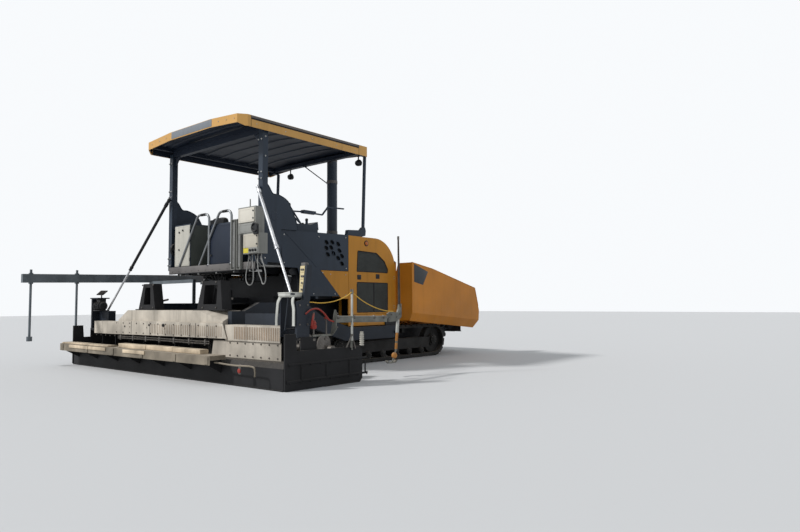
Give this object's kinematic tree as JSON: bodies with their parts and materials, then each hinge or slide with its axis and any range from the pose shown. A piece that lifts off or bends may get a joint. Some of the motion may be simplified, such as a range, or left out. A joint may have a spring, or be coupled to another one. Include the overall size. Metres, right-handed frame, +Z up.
{
  "type": "tracked asphalt paver with a wide fixed screed",
  "caption": "Tracked asphalt paver with hopper, slat conveyors, augers, covered operator's platform and a wide fixed screed",
  "frame": {"origin": "on the ground, at the middle of the middle sole plate's underside, which the screed rests on", "axes": "+Y in the travel direction, +X to the machine's right side, +Z up"},
  "size_m": [6.068, 7.585, 3.9],
  "materials": {
    "frame_dark": "semi-gloss dark paint, dusty",
    "track_steel": "track shoes with asphalt dust",
    "worn_steel": "bare steel worn by mix",
    "yellow_paint": "semi-gloss ochre yellow",
    "blue_grey_paint": "semi-gloss blue-grey",
    "seat_vinyl": "black vinyl",
    "beige_paint": "pale beige enclosure paint",
    "screed_dark": "dark paint with bitumen",
    "pale_plate": "dusty pale tread plate",
    "board_wood": "weathered sawn board",
    "bright_rod": "bright steel",
    "grey_paint": "grey paint",
    "rope_yellow": "laid synthetic rope",
    "cable_grey": "pale grey cable sheath"
  },
  "bodies": {
    "tractor": {"chassis": "frame_dark", "tunnel_roof": "frame_dark", "cross_frames": "frame_dark", "frame_brackets": "frame_dark", "engine": "frame_dark", "track_left": "track_steel", "track_right": "track_steel", "track_frames": "frame_dark", "conveyors": "worn_steel", "hopper_base": "yellow_paint", "hood": "blue_grey_paint", "side_panels": "blue_grey_paint", "body_panels": "yellow_paint", "platform": "frame_dark", "seats": "frame_dark", "seat_cushions": "seat_vinyl", "consoles": "blue_grey_paint", "control_boxes": "beige_paint", "handrails": "frame_dark", "roof_posts": "blue_grey_paint", "roof": "frame_dark", "roof_fascia": "yellow_paint", "exhaust_stack": "blue_grey_paint", "work_lamps": "frame_dark", "auger_frame": "frame_dark", "cable_left": "cable_grey", "cable_right": "cable_grey"},
    "hopper_wing_left": {"hopper_wing_left": "yellow_paint"},
    "hopper_wing_right": {"hopper_wing_right": "yellow_paint"},
    "hopper_apron": {"hopper_apron": "yellow_paint"},
    "wing_barrel_left": {"wing_barrel_left": "frame_dark"},
    "wing_barrel_right": {"wing_barrel_right": "frame_dark"},
    "wing_rod_left": {"wing_rod_left": "bright_rod"},
    "wing_rod_right": {"wing_rod_right": "bright_rod"},
    "push_beam": {"push_beam": "frame_dark"},
    "push_roller_left": {"push_roller_left": "worn_steel"},
    "push_roller_right": {"push_roller_right": "worn_steel"},
    "engine_door_left": {"engine_door_left": "yellow_paint"},
    "engine_door_right": {"engine_door_right": "yellow_paint"},
    "auger_left": {"auger_left": "worn_steel"},
    "auger_right": {"auger_right": "worn_steel"},
    "screed": {"tow_arms": "blue_grey_paint", "sensor_rig": "grey_paint", "rope": "rope_yellow", "screed_ribs": "screed_dark", "screed_frame": "screed_dark", "sole_plates": "worn_steel", "walkways": "pale_plate", "rear_boards": "board_wood", "trestles": "screed_dark", "screed_posts": "blue_grey_paint", "averaging_beam": "grey_paint"},
    "end_gate_left": {"end_gate_left": "screed_dark"},
    "end_gate_right": {"end_gate_right": "screed_dark"},
    "lift_barrels": {"lift_barrels": "frame_dark"},
    "lift_rods": {"lift_rods": "bright_rod"},
    "brace_tube_left": {"brace_tube_left": "frame_dark"},
    "brace_tube_right": {"brace_tube_right": "bright_rod"},
    "brace_rod_left": {"brace_rod_left": "bright_rod"},
    "brace_rod_right": {"brace_rod_right": "bright_rod"}
  },
  "joints": [
    {"name": "wing_fold_right", "type": "hinge", "parent": "tractor", "child": "hopper_wing_right", "pos_m": [0.88, 4.9, 0.69], "axis": [0, -1, 0], "range_deg": [0, 52]},
    {"name": "wing_barrel_swing_right", "type": "hinge", "parent": "tractor", "child": "wing_barrel_right", "pos_m": [0.87, 5.56, 0.48], "axis": [0, -1, 0], "range_deg": [0, 30.84]},
    {"name": "wing_rod_slide_right", "type": "slide", "parent": "wing_barrel_right", "child": "wing_rod_right", "axis": [0.8069, 0, 0.5907], "range_m": [0, 0.1177]},
    {"name": "wing_fold_left", "type": "hinge", "parent": "tractor", "child": "hopper_wing_left", "pos_m": [-0.88, 4.9, 0.69], "axis": [0, 1, 0], "range_deg": [0, 52]},
    {"name": "wing_barrel_swing_left", "type": "hinge", "parent": "tractor", "child": "wing_barrel_left", "pos_m": [-0.87, 5.56, 0.48], "axis": [0, 1, 0], "range_deg": [0, 30.84]},
    {"name": "wing_rod_slide_left", "type": "slide", "parent": "wing_barrel_left", "child": "wing_rod_left", "axis": [-0.8069, 0, 0.5907], "range_m": [0, 0.1177]},
    {"name": "apron_fold", "type": "hinge", "parent": "tractor", "child": "hopper_apron", "pos_m": [0, 6.024, 0.64], "axis": [1, 0, 0], "range_deg": [-75, 0]},
    {"name": "push_beam_swing", "type": "hinge", "parent": "tractor", "child": "push_beam", "pos_m": [0, 6.065, 0.52], "axis": [0, 0, 1], "range_deg": [-6, 6]},
    {"name": "push_roller_spin_right", "type": "hinge", "parent": "push_beam", "child": "push_roller_right", "pos_m": [0.5, 6.28, 0.52], "axis": [1, 0, 0], "continuous": true},
    {"name": "engine_door_swing_right", "type": "hinge", "parent": "tractor", "child": "engine_door_right", "pos_m": [1.256, 3.725, 1.5], "axis": [0, 0, 1], "range_deg": [0, 95]},
    {"name": "auger_spin_right", "type": "hinge", "parent": "tractor", "child": "auger_right", "pos_m": [1.3, 0.83, 0.42], "axis": [1, 0, 0], "continuous": true},
    {"name": "push_roller_spin_left", "type": "hinge", "parent": "push_beam", "child": "push_roller_left", "pos_m": [-0.5, 6.28, 0.52], "axis": [1, 0, 0], "continuous": true},
    {"name": "engine_door_swing_left", "type": "hinge", "parent": "tractor", "child": "engine_door_left", "pos_m": [-1.256, 3.725, 1.5], "axis": [0, 0, -1], "range_deg": [0, 95]},
    {"name": "auger_spin_left", "type": "hinge", "parent": "tractor", "child": "auger_left", "pos_m": [-1.3, 0.83, 0.42], "axis": [1, 0, 0], "continuous": true},
    {"name": "screed_lift", "type": "hinge", "parent": "tractor", "child": "screed", "pos_m": [0, 3.55, 0.54], "axis": [-1, 0, 0], "range_deg": [0, 6]},
    {"name": "end_gate_lift_right", "type": "slide", "parent": "screed", "child": "end_gate_right", "axis": [0, 0, 1], "range_m": [0, 0.1]},
    {"name": "end_gate_lift_left", "type": "slide", "parent": "screed", "child": "end_gate_left", "axis": [0, 0, 1], "range_m": [0, 0.1]},
    {"name": "lift_barrel_swing", "type": "hinge", "parent": "tractor", "child": "lift_barrels", "pos_m": [0, 1.23, 1.57], "axis": [-1, 0, 0], "range_deg": [0, 0.77]},
    {"name": "lift_rod_slide", "type": "slide", "parent": "lift_barrels", "child": "lift_rods", "axis": [0, -0.1767, -0.9843], "range_m": [-0.2607, 0]},
    {"name": "brace_swing_right", "type": "hinge", "parent": "tractor", "child": "brace_tube_right", "pos_m": [1.26, 0.52, 2.82], "axis": [-0.1289, -0.9641, 0.2323], "range_deg": [0, 7.42]},
    {"name": "brace_slide_right", "type": "slide", "parent": "brace_tube_right", "child": "brace_rod_right", "axis": [0.6443, -0.2595, -0.7194], "range_m": [-0.2782, 0]},
    {"name": "brace_swing_left", "type": "hinge", "parent": "tractor", "child": "brace_tube_left", "pos_m": [-1.26, 0.52, 2.9], "axis": [-0.0394, 0.9835, -0.1767], "range_deg": [0, 5.69]},
    {"name": "brace_slide_left", "type": "slide", "parent": "brace_tube_left", "child": "brace_rod_left", "axis": [-0.5627, -0.168, -0.8094], "range_m": [-0.2911, 0]}
  ],
  "couplings": [
    {"joint": "wing_barrel_swing_right", "follows": "wing_fold_right", "ratio": 0.5911},
    {"joint": "wing_rod_slide_right", "follows": "wing_fold_right", "m_per_rad": 0.1286},
    {"joint": "wing_barrel_swing_left", "follows": "wing_fold_left", "ratio": 0.5911},
    {"joint": "wing_rod_slide_left", "follows": "wing_fold_left", "m_per_rad": 0.1286},
    {"joint": "lift_barrel_swing", "follows": "screed_lift", "ratio": 0.1109},
    {"joint": "lift_rod_slide", "follows": "screed_lift", "m_per_rad": -2.4705},
    {"joint": "brace_swing_right", "follows": "screed_lift", "ratio": 1.2209},
    {"joint": "brace_slide_right", "follows": "screed_lift", "m_per_rad": -2.6374},
    {"joint": "brace_swing_left", "follows": "screed_lift", "ratio": 0.9314},
    {"joint": "brace_slide_left", "follows": "screed_lift", "m_per_rad": -2.7607}
  ]
}
